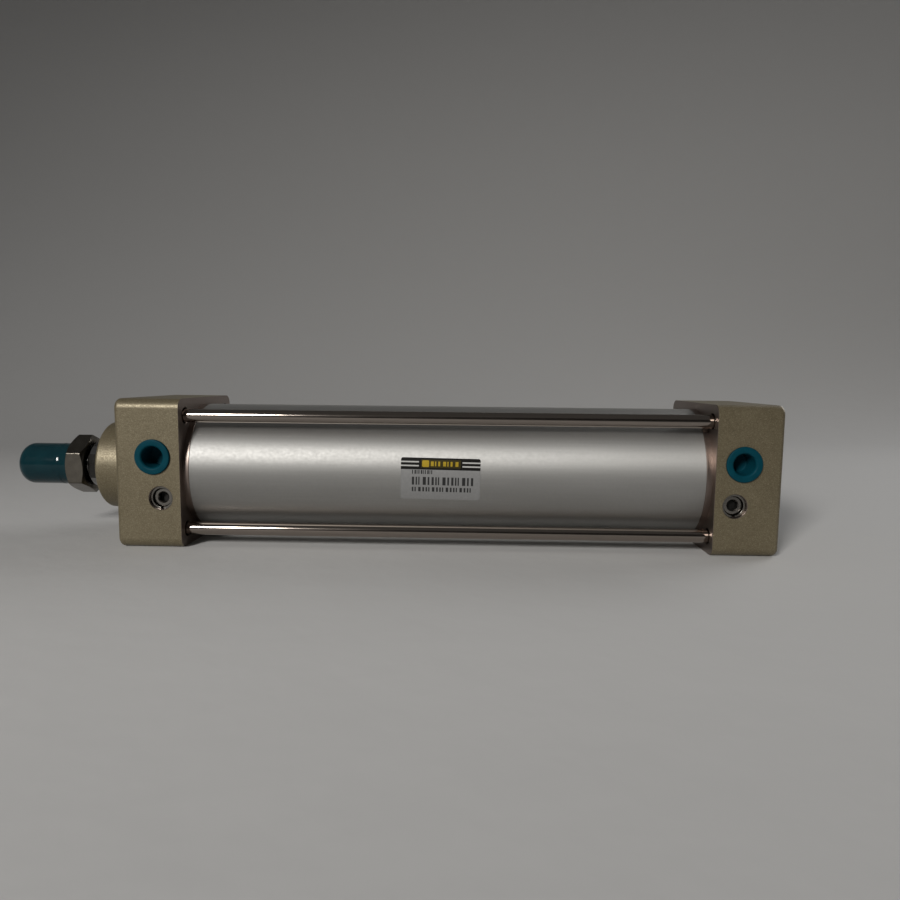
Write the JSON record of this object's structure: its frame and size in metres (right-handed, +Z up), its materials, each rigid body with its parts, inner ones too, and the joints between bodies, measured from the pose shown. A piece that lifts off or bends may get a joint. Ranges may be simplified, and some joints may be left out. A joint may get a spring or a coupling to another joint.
{
  "type": "pneumatic cylinder",
  "caption": "Double-acting tie-rod pneumatic cylinder with square end covers, a threaded rod with lock nut and cap, side ports with dust plugs and cushion needles.",
  "frame": {"origin": "centre of the rear cover's mounting face, on the rod's axis", "axes": "+X out of the rear mounting face, so the rod points to -X; +Z up; the air ports face -Y"},
  "size_m": [0.3238, 0.062, 0.061],
  "materials": {
    "champagne_paint": "champagne beige metallic paint with a fine sand texture over die-cast aluminium",
    "anodised_tube": "matt silver anodised, fine-blasted",
    "polished_steel": "bright polished",
    "hard_chrome": "ground and hard-chromed",
    "nut_steel": "satin nickel plate",
    "needle_steel": "bright turned steel",
    "plain_aluminium": "turned",
    "sleeve_steel": "ground",
    "sintered_bronze": "oil-soaked sintered bronze",
    "ferrite": "pressed ferrite, dull",
    "black_rubber": "moulded nitrile rubber",
    "wear_plastic": "natural acetal",
    "teal_vinyl": "glossy dipped vinyl",
    "teal_plastic": "satin moulded polyethylene",
    "label_film": "silver film with printed bars"
  },
  "bodies": {
    "cylinder_body": {"front_cover": "champagne_paint", "rear_cover": "champagne_paint", "barrel": "anodised_tube", "tie_rod_1": "polished_steel", "tie_rod_2": "polished_steel", "tie_rod_3": "polished_steel", "tie_rod_4": "polished_steel", "front_tie_nut_1": "nut_steel", "front_tie_nut_2": "nut_steel", "front_tie_nut_3": "nut_steel", "front_tie_nut_4": "nut_steel", "rear_tie_nut_1": "nut_steel", "rear_tie_nut_2": "nut_steel", "rear_tie_nut_3": "nut_steel", "rear_tie_nut_4": "nut_steel", "front_barrel_o_ring": "black_rubber", "rear_barrel_o_ring": "black_rubber", "front_cushion_seal": "black_rubber", "rear_cushion_seal": "black_rubber", "rod_bush": "sintered_bronze", "rod_wiper": "black_rubber", "label": "label_film", "front_needle_clip": "needle_steel", "rear_needle_clip": "needle_steel"},
    "seal_set": {"front_piston_seal": "black_rubber", "rear_piston_seal": "black_rubber", "wear_ring": "wear_plastic"},
    "rod_assembly": {"piston_rod": "hard_chrome", "piston_front_half": "plain_aluminium", "piston_rear_half": "plain_aluminium", "piston_magnet": "ferrite", "front_cushion_sleeve": "sleeve_steel", "rear_cushion_sleeve": "sleeve_steel", "piston_nut": "nut_steel"},
    "rod_lock_nut": {"rod_nut": "nut_steel"},
    "thread_cap": {"rod_end_cap": "teal_vinyl"},
    "front_needle": {"front_cushion_needle": "needle_steel", "front_needle_o_ring": "black_rubber"},
    "rear_needle": {"rear_cushion_needle": "needle_steel", "rear_needle_o_ring": "black_rubber"},
    "front_plug": {"front_port_plug": "teal_plastic"},
    "rear_plug": {"rear_port_plug": "teal_plastic"}
  },
  "joints": [
    {"name": "rod_stroke", "type": "slide", "parent": "cylinder_body", "child": "seal_set", "axis": [-1, 0, 0], "range_m": [0, 0.175]},
    {"name": "rod_turn", "type": "hinge", "parent": "seal_set", "child": "rod_assembly", "pos_m": [0, 0, 0], "axis": [-1, 0, 0], "continuous": true},
    {"name": "rod_nut_turn", "type": "hinge", "parent": "rod_assembly", "child": "rod_lock_nut", "pos_m": [-0.296, 0, 0], "axis": [-1, 0, 0], "continuous": true},
    {"name": "thread_cap_pull", "type": "slide", "parent": "rod_assembly", "child": "thread_cap", "axis": [-1, 0, 0], "range_m": [0, 0.03]},
    {"name": "front_needle_turn", "type": "hinge", "parent": "cylinder_body", "child": "front_needle", "pos_m": [-0.2497, -0.0305, -0.00985], "axis": [0, -1, 0], "range_deg": [-540, 540]},
    {"name": "front_plug_pull", "type": "slide", "parent": "cylinder_body", "child": "front_plug", "axis": [0, -1, 0], "range_m": [0, 0.012]},
    {"name": "rear_needle_turn", "type": "hinge", "parent": "cylinder_body", "child": "rear_needle", "pos_m": [-0.0183, -0.0305, -0.00985], "axis": [0, -1, 0], "range_deg": [-540, 540]},
    {"name": "rear_plug_pull", "type": "slide", "parent": "cylinder_body", "child": "rear_plug", "axis": [0, -1, 0], "range_m": [0, 0.012]}
  ]
}
